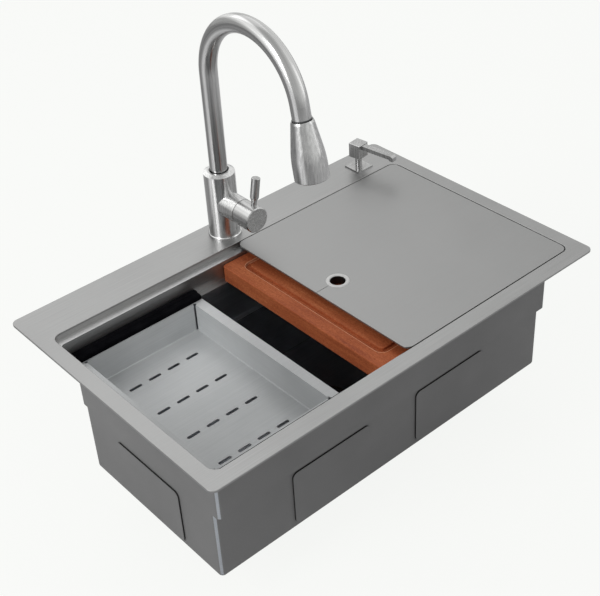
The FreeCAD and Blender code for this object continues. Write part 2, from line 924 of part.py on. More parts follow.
def make_lever():
    """Cap, stem and screw; Y is the pin's direction, Z runs forwards."""
    half = s.stem_side / 2
    back = s.valve_reach + s.lever_gap
    middle = (as_size(0), as_size(0))
    cap = turned("lever_cap", [
        (as_size(0), back),
        (s.valve_radius, back),
        (s.valve_radius, s.cap_end - s.cap_bevel),
        (s.valve_radius - s.cap_bevel, s.cap_end),
        (as_size(0), s.cap_end),
    ])
    cavity(cap, [(*middle, s.valve_radius - 4.0)], back, back + 8.0)
    socket = half + s.fixed_gap
    socket_end = s.pin_place - s.pin_neck_radius - 1.0
    cavity(cap, [box_outline(-socket, socket, -socket, socket)], back, socket_end)
    # the underside's back edge is cut away so that the cap can tip
    tip = s.lever_lift + 1.0
    gap = back - s.cartridge_pivot
    deep = s.valve_radius + 4.0
    relief = [
        (gap * (1.0 - cosine(tip)) / sine(tip), back),
        (gap * (1.0 - cosine(tip)) / sine(tip), back - 1.0),
        (-deep, back - 1.0),
        (-deep, s.cartridge_pivot + (gap + deep * sine(tip)) / cosine(tip)),
    ]
    cavity(cap, [relief], -deep, deep, "YZ_Plane")
    neck = (as_size(0), s.pin_place, s.pin_neck_radius + s.fixed_gap)
    cavity(cap, [neck], -s.valve_radius - 1.0, as_size(-8.0), "XZ_Plane")
    hole = (as_size(0), s.screw_place, s.screw_radius + s.fixed_gap)
    cavity(cap, [hole], as_size(0), s.valve_radius + 1.0, "XZ_Plane")
    stem = new_body("cartridge_stem")
    square = [box_outline(-half, half, -half, half)]
    prism(stem, square, s.cartridge_pivot - 11.0, socket_end - s.fixed_gap)
    hole = s.pivot_pin_radius + s.running_gap
    cavity(stem, [(as_size(0), s.cartridge_pivot, hole)], -s.stem_side, s.stem_side, "YZ_Plane")
    screw = new_body("lever_grub_screw")
    prism(screw, [(as_size(0), s.screw_place, s.screw_radius)], half + s.fixed_gap,
          s.valve_radius - 2.0, "XZ_Plane")
    return [cap, stem, screw]


def make_lever_pin():
    """Turned pin; heights are from the valve's axis."""
    neck_top = s.valve_radius + 7.0
    return turned("lever_pin", [
        (as_size(0), as_size(8.2)),
        (s.pin_neck_radius, as_size(8.2)),
        (s.pin_neck_radius, neck_top),
        (s.pin_radius, neck_top + 6.0),
        (s.pin_radius, s.pin_reach - 0.7),
        (s.pin_radius - 0.7, s.pin_reach),
        (as_size(0), s.pin_reach),
    ])


# ---- spout ----------------------------------------------------------------------------

def bent_path(body, start, tail):
    """Leg, arc and tail of the spout's centre line, as a sketch seen from +X."""
    path = sketch_on(body, "YZ_Plane")
    radius = s.arc_radius
    arc_end = (radius * cosine(s.arc_turn) - radius, s.leg_high + radius * sine(s.arc_turn))
    tail_end = (arc_end[0] - tail * sine(s.arc_turn), arc_end[1] + tail * cosine(s.arc_turn))
    bottom = (as_size(0), start)
    knee = (as_size(0), s.leg_high)
    centre = Vector(-radius.value, s.leg_high.value, 0)
    round_circle = Part.Circle(centre, Vector(0, 0, 1), radius.value)
    path.addGeometry(Part.LineSegment(point_of(bottom), point_of(knee)), False)
    path.addGeometry(Part.ArcOfCircle(round_circle, 0, math.radians(s.arc_turn.value)), False)
    path.addGeometry(Part.LineSegment(point_of(arc_end), point_of(tail_end)), False)
    path.addConstraint(Sketcher.Constraint("Coincident", 0, 2, 1, 1))
    path.addConstraint(Sketcher.Constraint("Coincident", 1, 2, 2, 1))
    hold(path, 0, 1, *bottom)
    hold(path, 1, 1, *knee)
    hold(path, 1, 2, *arc_end)
    hold(path, 2, 2, *tail_end)
    hold_radius(path, 1, radius)
    return path, tail_end


def make_bent_tube(label, radius, bore, start, tail):
    body = new_body(label)
    path, tail_end = bent_path(body, start, tail)
    profile = sketch_on(body, "XY_Plane", start)
    for size in (radius, bore):
        circle(profile, as_size(0), as_size(0), size)
    pipe = body.newObject("PartDesign::AdditivePipe", label + "_pipe")
    pipe.Profile = profile
    pipe.Spine = (path, ["Edge1", "Edge2", "Edge3"])
    return body, tail_end


def make_dock_collar():
    """Plastic guide in the tube's end; heights run up along the tail."""
    bore = s.head_bore + s.moving_gap
    spigot = s.tube_bore - s.fixed_gap
    return turned("dock_collar", [
        (bore, -s.collar_thick),
        (s.collar_radius, -s.collar_thick),
        (s.collar_radius, as_size(0)),
        (spigot, as_size(0)),
        (spigot, s.collar_spigot),
        (bore, s.collar_spigot),
    ])


# ---- spray head --------------------------------------------------------------------------

def make_spray_head():
    """Shell, core and jet face; heights run down from the head's top."""
    flare_rise = s.head_flare - s.head_cone_drop
    spread = s.head_radius - s.head_cone_radius
    flare = (spread * spread + flare_rise * flare_rise) / (2.0 * spread)
    shell = turned("spray_shell", [
        (s.head_bore, as_size(0)),
        (s.head_bore, -s.throat_drop),
        (s.head_bore + s.throat_step, -s.throat_drop),
        (s.face_radius, -s.head_flare),
        (s.face_radius, -s.head_high),
        (s.head_radius - 1.5, -s.head_high),
        (s.head_radius, 1.5 - s.head_high),
        (s.head_radius, -s.head_flare, flare),
        (s.head_cone_radius, -s.head_cone_drop),
        (s.head_neck_radius, -s.head_neck_drop),
        (s.head_top_radius, as_size(0)),
    ])
    face_low = 1.0 - s.head_high
    face_high = -s.head_flare
    throat = -s.throat_drop - s.moving_gap
    core = turned("spray_core", [
        (s.hose_bore, as_size(-1.0)),
        (s.head_bore - s.fixed_gap, as_size(-1.0)),
        (s.head_bore - s.fixed_gap, throat),
        (s.head_bore + s.throat_step - 0.8, throat),
        (s.face_radius - 3.0, face_high + 1.0),
        (s.hose_bore, face_high + 1.0),
    ])
    face = turned("spray_face", [
        (as_size(0), face_low),
        (s.face_radius - 2.0, face_low),
        (s.face_radius - s.fixed_gap, face_low + 1.2),
        (s.face_radius - s.fixed_gap, face_high),
        (as_size(0), face_high),
    ])
    jets = ((0.78, s.outer_jets), (0.50, s.inner_jets))
    for share, count in jets:
        spot = (s.face_radius * share, as_size(0), s.jet_radius)
        polar(face, cavity(face, [spot], face_low, face_low + 5.0), count)
    cavity(face, [(as_size(0), as_size(0), s.face_radius * 0.28)], face_low, face_low + 5.0)
    return [shell, core, face]


# ---- soap pump ------------------------------------------------------------------------------

def make_pump_mounting():
    """Plate, shank, gasket, nut, barrel, dip tube and bottle."""
    half = s.pump_plate_side / 2
    bore = s.pump_shank_radius + s.fixed_gap
    plate = new_body("pump_plate")
    square = [box_outline(-half, half, -half, half), (as_size(0), as_size(0), bore)]
    prism(plate, square, 0.0, s.pump_plate_thick)
    shank = turned("pump_shank", [
        (s.pump_shank_bore, -s.pump_shank_drop),
        (s.pump_shank_radius, -s.pump_shank_drop),
        (s.pump_shank_radius, s.pump_plate_thick),
        (s.pump_stem_radius + s.running_gap, s.pump_plate_thick),
        (s.pump_stem_radius + s.running_gap, s.pump_plate_thick - 3.0),
        (s.pump_shank_bore, s.pump_plate_thick - 3.0),
    ])
    under = -s.deck_thick
    gasket_low = under - 2.0
    gasket = ring("pump_gasket", bore, s.pump_nut_radius - 2.0, gasket_low, under)
    nut_low = gasket_low - s.pump_nut_high
    nut = ring("pump_nut", bore, s.pump_nut_radius, nut_low, gasket_low)
    notch = cavity(nut, [(s.pump_nut_radius + 1.5, as_size(0), as_size(3.5))], nut_low, gasket_low)
    polar(nut, notch, 8)
    barrel_high = s.pump_plate_thick - 3.0 - s.fixed_gap
    barrel = turned("pump_barrel", [
        (as_size(2.6), -s.pump_barrel_drop),
        (s.pump_barrel_radius, -s.pump_barrel_drop),
        (s.pump_barrel_radius, barrel_high),
        (s.pump_barrel_radius - 1.0, barrel_high),
        (s.pump_barrel_radius - 1.0, 4.0 - s.pump_barrel_drop),
        (as_size(2.6), 4.0 - s.pump_barrel_drop),
    ])
    dip = ring("dip_tube", as_size(1.6), as_size(2.5), 10.0 - s.bottle_drop,
               3.0 - s.pump_barrel_drop)
    wall = s.bottle_wall
    neck = s.pump_shank_radius + s.fixed_gap
    neck_top = nut_low - 3.0
    shoulder = neck_top - s.bottle_neck
    body_top = shoulder - s.bottle_slope
    bottle = turned("soap_bottle", [
        (as_size(0), -s.bottle_drop),
        (s.bottle_radius - 5.0, -s.bottle_drop, as_size(5.0)),
        (s.bottle_radius, 5.0 - s.bottle_drop),
        (s.bottle_radius, body_top),
        (neck + wall + 1.5, shoulder),
        (neck + wall + 1.5, neck_top),
        (neck, neck_top),
        (neck, shoulder),
        (s.bottle_radius - wall, body_top - wall),
        (s.bottle_radius - wall, 5.0 - s.bottle_drop, as_size(-5.0)),
        (s.bottle_radius - wall - 5.0, wall - s.bottle_drop),
        (as_size(0), wall - s.bottle_drop),
    ])
    return [plate, shank, gasket, nut, barrel, dip, bottle]


def make_pump_plunger():
    """Stem with its piston, and the spring under it."""
    piston_high = s.pump_plate_thick - s.piston_drop
    piston = s.pump_barrel_radius - 1.0 - s.running_gap
    stem = turned("pump_stem", [
        (as_size(1.8), piston_high - 6.0),
        (piston, piston_high - 6.0),
        (piston, piston_high),
        (s.pump_stem_radius, piston_high),
        (s.pump_stem_radius, s.pump_head_bottom + 8.0),
        (as_size(1.8), s.pump_head_bottom + 8.0),
    ])
    spring = new_body("pump_spring")
    coil = piston - s.spring_wire - 0.3
    low = 4.2 - s.pump_barrel_drop + s.spring_wire
    high = piston_high - 6.2 - s.spring_wire
    sketch = sketch_on(spring, "XZ_Plane")
    circle(sketch, coil, low, s.spring_wire)
    helix = spring.newObject("PartDesign::AdditiveHelix", "pump_spring_helix")
    helix.Profile = sketch
    helix.ReferenceAxis = (sketch, ["V_Axis"])
    helix.Mode = "height-turns-growth"
    helix.setExpression("Height", (high - low).formula)
    helix.setExpression("Turns", s.spring_turns.formula)
    return stem, spring


def make_pump_head():
    """Square head and the flat nozzle that leaves its front face."""
    half = s.pump_head_side / 2
    middle = (as_size(0), as_size(0))
    head = new_body("pump_head")
    prism(head, [box_outline(-half, half, -half, half)], s.pump_head_bottom, s.pump_head_top)
    round_edges(head, as_size(0.8), lambda edge: len(edge.Vertexes) == 2)
    bored = s.pump_stem_radius + s.running_gap
    cavity(head, [(*middle, bored)], s.pump_head_bottom, s.pump_head_bottom + 8.2)
    side = s.nozzle_wide / 2
    high = s.pump_head_top - 1.5
    low = high - s.nozzle_high
    slot = box_outline(-side - s.fixed_gap, side + s.fixed_gap, low - s.fixed_gap,
                       high + s.fixed_gap)
    cavity(head, [slot], half - 6.0, half + 1.0, "XZ_Plane")
    nozzle = new_body("pump_nozzle")
    profile = [
        (6.0 - half, low),
        (6.0 - half, high),
        (4.0 - s.nozzle_reach, high),
        (-s.nozzle_reach, high - 2.0),
        (-s.nozzle_reach, low - 2.0),
        (6.0 - s.nozzle_reach, low - 2.0),
        (8.0 - s.nozzle_reach, low),
    ]
    prism(nozzle, [profile], -side, side, "YZ_Plane")
    mouth = (as_size(0), 3.0 - s.nozzle_reach, as_size(1.8))
    cavity(nozzle, [mouth], low - 2.0, low + 2.0)
    return [head, nozzle]


# ---- cover ------------------------------------------------------------------------------------

cover_edges = (
    s.cover_left,
    recess_edges[1] - s.cover_gap,
    recess_edges[2] + s.cover_gap,
    recess_edges[3] - s.cover_gap,
)
finger_x = cover_edges[0] + s.finger_inset
finger_y = (cover_edges[2] + cover_edges[3]) / 2


def make_cover_panel():
    """Sheet with folded edges: deep ones stand on the ledge in front and
    behind, a short lip stiffens the left and right ends and the corners."""
    body = new_body("cover_panel")
    inside = grown(cover_edges, -s.cover_sheet)
    foot = cover_ledge
    hem = deck_top - s.cover_lip
    corner = s.recess_corner - s.cover_gap
    outer = rounded(*cover_edges, corner)
    inner = rounded(*inside, corner - s.cover_sheet)
    prism(body, [outer], foot, deck_top)
    cavity(body, [inner], foot, deck_top - s.cover_sheet)
    for left, right in ((cover_edges[0] - 1.0, inside[0] + corner),
                        (inside[1] - corner, cover_edges[1] + 1.0)):
        gate = box_outline(left, right, cover_edges[2] - 1.0, cover_edges[3] + 1.0)
        cavity(body, [gate], foot, hem)
    round_edges(body, as_size(0.6), flat_at(deck_top))
    cavity(body, [(finger_x, finger_y, s.grommet_sleeve + s.fixed_gap)], foot, deck_top)
    score = box_outline(cover_edges[0] - 1.0, finger_x - s.grommet_radius - 0.5,
                        finger_y - 0.4, finger_y + 0.4)
    cavity(body, [score], deck_top - 0.5, deck_top)
    return body


def make_cover_grommet():
    """Finger ring; heights are from the cover's top face."""
    sleeve_low = -s.grommet_deep
    return turned("cover_grommet", [
        (s.finger_radius, sleeve_low),
        (s.grommet_sleeve, sleeve_low),
        (s.grommet_sleeve, as_size(0)),
        (s.grommet_radius, as_size(0)),
        (s.grommet_radius - 1.0, as_size(0.8)),
        (s.finger_radius + 1.5, as_size(0.8)),
        (s.finger_radius, as_size(-0.6)),
    ])


# ---- cutting board -------------------------------------------------------------------------------

rail_front_end = upper_edges[2] + s.slide_gap
rail_back_end = upper_edges[3] - s.slide_gap
loose_corner = s.wall_corner + s.corner_extra


def make_cutting_board():
    body = new_body("cutting_board")
    edges = (s.board_left, s.board_left + s.board_wide, rail_front_end, rail_back_end)
    high = rail_ledge + s.board_thick
    prism(body, [rounded(*edges, loose_corner)], rail_ledge, high)
    round_edges(body, s.board_round, flat_at(high))
    outer = grown(edges, -s.groove_inset)
    inner = grown(outer, -s.groove_wide)
    groove = [rounded(*outer, s.groove_wide * 1.6), rounded(*inner, s.groove_wide * 0.7)]
    cavity(body, groove, high - s.groove_deep, high)
    return body


# ---- colander ----------------------------------------------------------------------------------------

colander_left = upper_edges[0] + s.slide_gap + 0.3
colander_edges = (colander_left, colander_left + s.colander_wide, rail_front_end, rail_back_end)
tray_edges = (
    colander_edges[0] + s.colander_left_flange,
    colander_edges[1] - s.colander_right_flange,
    colander_edges[2] + s.colander_front_flange,
    colander_edges[3] - s.colander_back_flange,
)


def make_colander_tray():
    body = new_body("colander_tray")
    flange_top = rail_ledge + s.colander_sheet
    tray_floor = flange_top - s.colander_deep
    tray_bottom = tray_floor - s.colander_sheet
    prism(body, [rounded(*colander_edges, loose_corner)], rail_ledge, flange_top)
    prism(body, [box_outline(*grown(tray_edges, s.colander_sheet))], tray_bottom, rail_ledge)
    round_edges(body, s.fold_radius + s.colander_sheet, flat_at(tray_bottom))
    cavity(body, [box_outline(*tray_edges)], tray_floor, flange_top)
    round_edges(body, s.fold_radius, flat_at(tray_floor))
    # the folded walls meet in open corner seams, wider at the flange
    spots = [(x, y) for x in tray_edges[:2] for y in tray_edges[2:]]
    seam = s.colander_sheet * 1.5
    cavity(body, [(x, y, seam) for x, y in spots], tray_floor, flange_top)
    relief = seam + s.relief_extra
    cavity(body, [(x, y, relief) for x, y in spots], rail_ledge, flange_top)
    middle_x = (tray_edges[0] + tray_edges[1]) / 2
    middle_y = (tray_edges[2] + tray_edges[3]) / 2
    left = middle_x - s.slot_pitch_x * (s.slot_columns - 1) / 2 - s.slot_long / 2
    front = middle_y - s.slot_pitch_y * (s.slot_rows - 1) / 2 - s.slot_wide / 2
    slot = rounded(left, left + s.slot_long, front, front + s.slot_wide, s.slot_wide * 0.45)
    pocket = cavity(body, [slot], tray_bottom, tray_floor)
    grid = body.newObject("PartDesign::MultiTransform", "colander_slots")
    grid.Originals = [pocket]
    steps = (
        ("H_Axis", s.slot_pitch_x, s.slot_columns),
        ("V_Axis", s.slot_pitch_y, s.slot_rows),
    )
    patterns = []
    for axis, pitch, count in steps:
        pattern = body.newObject("PartDesign::LinearPattern", new_name("colander_line"))
        pattern.Direction = (pocket.Profile[0], [axis])
        pattern.setExpression("Length", (pitch * (count - 1)).formula)
        pattern.setExpression("Occurrences", count.formula)
        patterns.append(pattern)
    grid.Transformations = patterns
    body.Tip = grid
    return body


def make_colander_grips():
    """Two moulded strips on the colander's front and back flanges."""
    low = rail_ledge + s.colander_sheet
    high = low + s.strip_high
    lower = high - s.strip_step
    left = colander_edges[0] + loose_corner / 2
    right = colander_edges[1] - s.strip_inset
    grips = []
    ends = (
        (colander_edges[3], -1, s.colander_back_flange - s.strip_back_margin),
        (colander_edges[2], 1, s.colander_front_flange - s.strip_front_margin),
    )
    for index, (wall, way, deep) in enumerate(ends, 1):
        profile = [
            (wall, low),
            (wall, high - 1.0),
            (wall + 1.0 * way, high),
            (wall + deep * 0.42 * way, high),
            (wall + deep * 0.5 * way, lower),
            (wall + (deep - 1.5) * way, lower),
            (wall + deep * way, lower - 1.5),
            (wall + deep * way, low),
        ]
        grip = new_body(f"grip_{index}")
        prism(grip, [profile], left, right, "YZ_Plane")
        grips.append(grip)
    return group("colander_grips", grips)


# ---- put everything in its place -----------------------------------------------------------------------

FORWARDS = Vector(1, 0, 0)
PIN_SIDE = Vector(0, 1, 0)


def place_all(items, x, y, z, axis=None, angle=0.0):
    for item in items:
        place(item, x, y, z, axis, angle)


parts = [make_deck_panel(), make_rim_seal()]
parts.append(make_tier("ledge_frame", recess_edges, s.recess_corner, upper_edges,
                       s.seal_thick, cover_ledge))
parts.append(make_tier("upper_wall", upper_edges, s.wall_corner, middle_edges,
                       cover_ledge - s.sheet, rail_ledge))
parts.append(make_bowl_band())
parts.extend([make_bowl_pan(), make_bowl_floor()])
parts.extend(make_sound_pads())

drain_parts = [make_drain_cup()] + make_drain_stack() + make_basket()
place_all(drain_parts, 0.0, drain_y, floor_top)
parts.extend(drain_parts)

shank_parts, supply_tails = make_tap_shank()
column_parts = [make_tap_base_ring(), make_tap_body()] + make_spout_bearing() + shank_parts
place_all(column_parts, s.tap_x, tap_y, deck_top)
parts.extend(column_parts + [supply_tails])

valve_z = deck_top + s.valve_height
fixed_valve_parts, rotor_parts = make_cartridge()
place_all(fixed_valve_parts, s.tap_x, tap_y, valve_z, FORWARDS, 90.0)
leaning_parts = rotor_parts + make_lever()
for item in leaning_parts:
    lean = Rotation(PIN_SIDE, s.lever_lean.value)
    item.Placement = Placement(Vector(0, 0, 0), lean * Rotation(FORWARDS, 90))
    place(item, s.tap_x, tap_y, valve_z)
lever_pin = make_lever_pin()
place(lever_pin, s.tap_x, tap_y - s.pin_place, valve_z, PIN_SIDE, s.lever_lean)
parts.extend(fixed_valve_parts + leaning_parts + [lever_pin])

leg_start = s.spout_seat + 1.0
tube, tube_end = make_bent_tube("spout_tube", s.tube_radius, s.tube_bore, leg_start, s.tube_tail)
hose_tail = s.tube_tail + s.collar_thick
hose, hose_end = make_bent_tube("spray_hose", s.hose_radius, s.hose_bore, leg_start + 2.0,
                                hose_tail)
place_all([tube, hose], s.tap_x, tap_y, deck_top)
tilt = s.arc_turn - 180.0
collar = make_dock_collar()
place(collar, s.tap_x, tap_y + tube_end[0], deck_top + tube_end[1], FORWARDS, tilt)
head_drop = s.collar_thick + s.moving_gap
head_y = tap_y + tube_end[0] - head_drop * sine(s.arc_turn)
head_z = deck_top + tube_end[1] + head_drop * cosine(s.arc_turn)
head_parts = make_spray_head()
place_all(head_parts, s.tap_x, head_y, head_z, FORWARDS, tilt)
parts.extend([tube, hose, collar] + head_parts)

pump_stem, pump_spring = make_pump_plunger()
pump_parts = make_pump_mounting() + [pump_stem, pump_spring]
place_all(pump_parts, pump_x, pump_y, deck_top)
pump_head_parts = make_pump_head()
place_all(pump_head_parts, pump_x, pump_y, deck_top, Vector(0, 0, 1), s.pump_turn)
parts.extend(pump_parts + pump_head_parts)

grommet = make_cover_grommet()
place(grommet, finger_x, finger_y, deck_top)
parts.extend([make_cover_panel(), grommet])
parts.append(make_cutting_board())
parts.extend([make_colander_tray(), make_colander_grips()])


# ---- check and write the sub-parts ------------------------------------------------------------------------

doc.recompute()
faults = []
for item in doc.Objects:
    if "Invalid" in item.State or "Error" in item.State:
        faults.append(f"{item.Name} is {item.State}")
for part in parts:
    if part.Shape.isNull() or not part.Shape.isValid() or not part.Shape.Solids:
        faults.append(f"{part.Label} has no valid solid")
if faults:
    raise RuntimeError("; ".join(faults))

os.makedirs("parts", exist_ok=True)
for part in parts:
    part.Shape.exportStep(f"parts/{part.Label}.step")
    print(part.Label, len(part.Shape.Solids), round(part.Shape.Volume, 1))
print(len(parts), "sub-parts")
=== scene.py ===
import math

import bpy
from mathutils import Matrix, Vector


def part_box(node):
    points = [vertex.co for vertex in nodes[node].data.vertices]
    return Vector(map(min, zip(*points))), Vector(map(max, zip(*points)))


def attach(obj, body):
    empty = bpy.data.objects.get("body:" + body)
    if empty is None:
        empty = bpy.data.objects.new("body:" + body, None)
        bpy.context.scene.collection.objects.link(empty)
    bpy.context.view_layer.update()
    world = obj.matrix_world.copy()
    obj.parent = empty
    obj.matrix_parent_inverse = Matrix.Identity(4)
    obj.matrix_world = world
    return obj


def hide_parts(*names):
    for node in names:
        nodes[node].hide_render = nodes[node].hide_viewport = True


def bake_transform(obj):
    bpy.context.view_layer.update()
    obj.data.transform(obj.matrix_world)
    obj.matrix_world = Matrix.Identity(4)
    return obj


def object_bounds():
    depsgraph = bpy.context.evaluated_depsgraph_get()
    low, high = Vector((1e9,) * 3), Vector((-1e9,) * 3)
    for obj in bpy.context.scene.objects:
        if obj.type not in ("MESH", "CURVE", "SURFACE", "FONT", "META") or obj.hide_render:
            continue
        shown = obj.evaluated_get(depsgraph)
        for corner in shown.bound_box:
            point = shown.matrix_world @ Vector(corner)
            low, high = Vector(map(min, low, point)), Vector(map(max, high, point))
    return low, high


# A workstation kitchen sink: stepped steel bowl with a cover, cutting board
# and colander on its ledges, a pull-down tap and a soap pump. All lengths are
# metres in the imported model's frame.

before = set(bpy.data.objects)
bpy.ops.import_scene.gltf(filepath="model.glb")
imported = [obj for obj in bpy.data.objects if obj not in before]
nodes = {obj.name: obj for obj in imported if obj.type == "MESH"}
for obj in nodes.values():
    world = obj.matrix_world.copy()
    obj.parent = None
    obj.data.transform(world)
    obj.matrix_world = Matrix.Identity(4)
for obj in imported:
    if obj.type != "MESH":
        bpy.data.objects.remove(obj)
solid_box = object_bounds()


# ---- places on the sink ------------------------------------------------------

DECK_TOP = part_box("deck_panel")[1][2]
TAP_X = 0.002
TAP_Y = 0.1857
PUMP_X = 0.270
PUMP_Y = 0.1825
ARC_RADIUS = 0.0941
ARC_TURN = math.radians(170.0)
LEG_TOP = DECK_TOP + 0.2566
HOSE_START = DECK_TOP + 0.0785
HOSE_RADIUS = 0.0065
HOSE_TAIL = 0.0186
HOSE_BORE = 0.0040
SPOUT_END = (TAP_X, TAP_Y - ARC_RADIUS + ARC_RADIUS * math.cos(ARC_TURN),
             LEG_TOP + ARC_RADIUS * math.sin(ARC_TURN))
HOSE_TAIL_RUN = (0.0, -math.sin(ARC_TURN) * HOSE_TAIL, math.cos(ARC_TURN) * HOSE_TAIL)
FLOOR_HEIGHT = solid_box[0][2] - 0.0006

CAMERA_TURN = math.radians(-39.20)
SIGHT_RIGHT = (math.cos(CAMERA_TURN), math.sin(CAMERA_TURN))


# ---- shader sums ---------------------------------------------------------------

class Signal:
    """One output of a finish's nodes. Sums on it add their own nodes."""

    def __init__(self, finish, socket):
        self.finish = finish
        self.socket = socket

    def maths(self, operation, *values):
        return self.finish.node("Math", dict(enumerate(values)), operation=operation)

    def __add__(self, other):
        return self.maths("ADD", self, other)

    def __sub__(self, other):
        return self.maths("SUBTRACT", self, other)

    def __rsub__(self, other):
        return self.maths("SUBTRACT", other, self)

    def __mul__(self, other):
        return self.maths("MULTIPLY", self, other)

    def __abs__(self):
        return self.maths("ABSOLUTE", self)

    def __gt__(self, other):
        return self.maths("GREATER_THAN", self, other)

    def __lt__(self, other):
        return self.maths("LESS_THAN", self, other)

    def larger(self, other):
        return self.maths("MAXIMUM", self, other)

    __radd__ = __add__
    __rmul__ = __mul__


class Finish:
    """One surface finish: a material and its nodes. The world has one as well."""

    def __init__(self, name, store=bpy.data.materials):
        self.owner = store.new(name)
        self.owner.use_nodes = True
        self.tree = self.owner.node_tree
        self.tree.nodes.clear()

    def node(self, kind, values=None, output=0, stops=(), **settings):
        """Add a node, set it up, then feed its sockets."""
        item = self.tree.nodes.new("ShaderNode" + kind)
        for name, setting in settings.items():
            setattr(item, name, setting)
        if stops:
            ramp = item.color_ramp.elements
            while len(ramp) < len(stops):
                ramp.new(0.5)
            for element, (position, colour) in zip(ramp, stops):
                element.position = position
                element.color = (*colour, 1.0)
        for key, value in (values or {}).items():
            if isinstance(value, Signal):
                self.tree.links.new(value.socket, item.inputs[key])
            else:
                item.inputs[key].default_value = value
        return Signal(self, item.outputs[output]) if len(item.outputs) else None

    def place(self):
        """Position on the sink, in metres."""
        return self.node("TexCoord", output="Object")

    def facing(self):
        """The surface's direction."""
        return self.node("TexCoord", output="Normal")

    def axes(self, vector):
        """The three parts of a vector."""
        split = self.node("SeparateXYZ", {0: vector})
        outputs = split.socket.node.outputs
        return [Signal(self, outputs[index]) for index in range(3)]

    def stretched(self, vector, factors):
        return self.node("VectorMath", {0: vector, 1: factors}, operation="MULTIPLY")

    def noise(self, vector, scale, detail=3.0, roughness=0.55):
        values = {"Vector": vector, "Scale": scale, "Detail": detail, "Roughness": roughness}
        return self.node("TexNoise", values, output="Fac")

    def blend(self, factor, first, second):
        """Mix two colours."""
        values = {"Factor": factor, 6: first, 7: second}
        return self.node("Mix", values, output=2, data_type="RGBA")

    def ramp(self, factor, stops):
        return self.node("ValToRGB", {"Fac": factor}, stops=stops)

    def span(self, value, low, high, start=0.0, end=1.0):
        """Carry a value from one range to another, held at both ends."""
        values = {"Value": value, "From Min": low, "From Max": high,
                  "To Min": start, "To Max": end}
        return self.node("MapRange", values, clamp=True)

    def bump(self, height, strength, distance):
        values = {"Height": height, "Strength": strength, "Distance": distance}
        return self.node("Bump", values)

    def surface(self, values):
        """Close the finish with its shader."""
        shader = self.node("BsdfPrincipled", values)
        self.node("OutputMaterial", {"Surface": shader})
        return self.owner


def grey(level, tint=(0.0, 0.0, 0.0)):
    """Opaque grey, moved a little towards a tint."""
    return (level + tint[0], level + tint[1], level + tint[2], 1.0)


# ---- steel ------------------------------------------------------------------------

# noise cells per metre, across a mark and along it
BELT_MARKS = (900.0, 9.0)
TURNED_MARKS = 420.0
SPRAY_GRAIN = 1400.0
MOULD_GRAIN = 2600.0
SCUFF_GRAIN = 45.0
# painted highlight and painted shade on the tap: share of the steel's colour by how far a face
# is turned, from left to right across the main view
TAP_PAINTED_LIGHT_SHARES = (
    (0.00, 0.48),
    (0.14, 0.52),
    (0.22, 1.40),
    (0.31, 1.30),
    (0.38, 0.64),
    (0.54, 0.68),
    (0.70, 0.98),
    (1.00, 1.08),
)
# how squarely a face has to look along an axis to count as one of its ends
FACES_AN_AXIS = 0.6
COAT_ROUGHNESS = 0.62
DECK_LEVEL = 0.31
COAT_LEVEL = 0.20
# blue tint painted on the deeper tiers' steel for the colour of their shade
DEEP_BOWL_SHADE_TINT = (-0.03, 0.0, 0.04)
BOWL_SHEET = 0.0015


def drawn_lines(finish, place, along, across, lengthwise):
    """Noise drawn out along one axis, like the marks of a belt."""
    factors = [across, across, across]
    factors["XYZ".index(along)] = lengthwise
    return finish.noise(finish.stretched(place, factors), 1.0, 2.0)


def sheet_steel(name, level, roughness=0.42, along="X", marks=0.07, clouds=0.06,
                tint=(0, 0, 0), metal=1.0, painted_upright_share=0.0, painted_rear_share=0.0):
    """Flat brushed sheet, with its brush marks and faint clouds. Painted light and shade can be
    added by a share: faces standing up painted brighter, flat faces a little darker, and the
    piece brighter towards its back."""
    finish = Finish(name)
    place = finish.place()
    facing = finish.axes(finish.facing())
    long_marks = drawn_lines(finish, place, along, *BELT_MARKS)
    cross_marks = drawn_lines(finish, place, "Y" if along == "X" else "X", *BELT_MARKS)
    end_face = abs(facing["XY".index(along)]) > FACES_AN_AXIS
    lines = long_marks * (1.0 - end_face) + cross_marks * end_face
    cloud = finish.noise(place, 7.0, 4.0)
    shade = finish.span(lines * marks + cloud * clouds, 0.3 * (marks + clouds),
                        0.7 * (marks + clouds), 0.0, 1.0)
    dark = grey(level * (1.0 - marks - clouds), tint)
    light = grey(level * (1.0 + marks + clouds), tint)
    rough = finish.span(lines + cloud, 0.6, 1.4, roughness - 0.05, roughness + 0.07)
    colour = finish.blend(shade, dark, light)
    # painted light and shade: standing faces brighter, flat faces a little darker, the back of
    # the piece brighter
    if painted_upright_share:
        upright_paint_light = finish.span(abs(facing[2]), 0.3, 0.8, 1.0 + painted_upright_share, 1.0 - painted_upright_share * 0.5)
        rear_paint_light = finish.span(finish.axes(place)[1], -0.08, 0.11, 1.0, 1.0 + painted_rear_share)
        colour = finish.stretched(colour, upright_paint_light * rear_paint_light)
    return finish.surface({
        "Base Color": colour,
        "Metallic": metal,
        "Roughness": rough,
        "Normal": finish.bump(lines, 0.12, 0.0002),
    })


def sprayed_coat(finish, place):
    """Colour of the damping coat, and the speckle that roughens it."""
    speckle = finish.noise(place, SPRAY_GRAIN, 2.0)
    drift = finish.noise(place, 4.5, 3.0)
    colour = finish.blend(finish.span(drift + speckle * 0.25, 0.42, 0.85),
                          grey(COAT_LEVEL * 0.86), grey(COAT_LEVEL * 1.13))
    return colour, speckle


def outside_of(tier, axes):
    """Mask of the outer face of a tier's walls and of its underside."""
    x, y, z = axes
    low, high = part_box(tier)
    half = BOWL_SHEET / 2
    beyond_x = abs(x - (low[0] + high[0]) / 2) > (high[0] - low[0]) / 2 - half
    beyond_y = abs(y - (low[1] + high[1]) / 2) > (high[1] - low[1]) / 2 - half
    return beyond_x.larger(beyond_y).larger(z < low[2] + half)


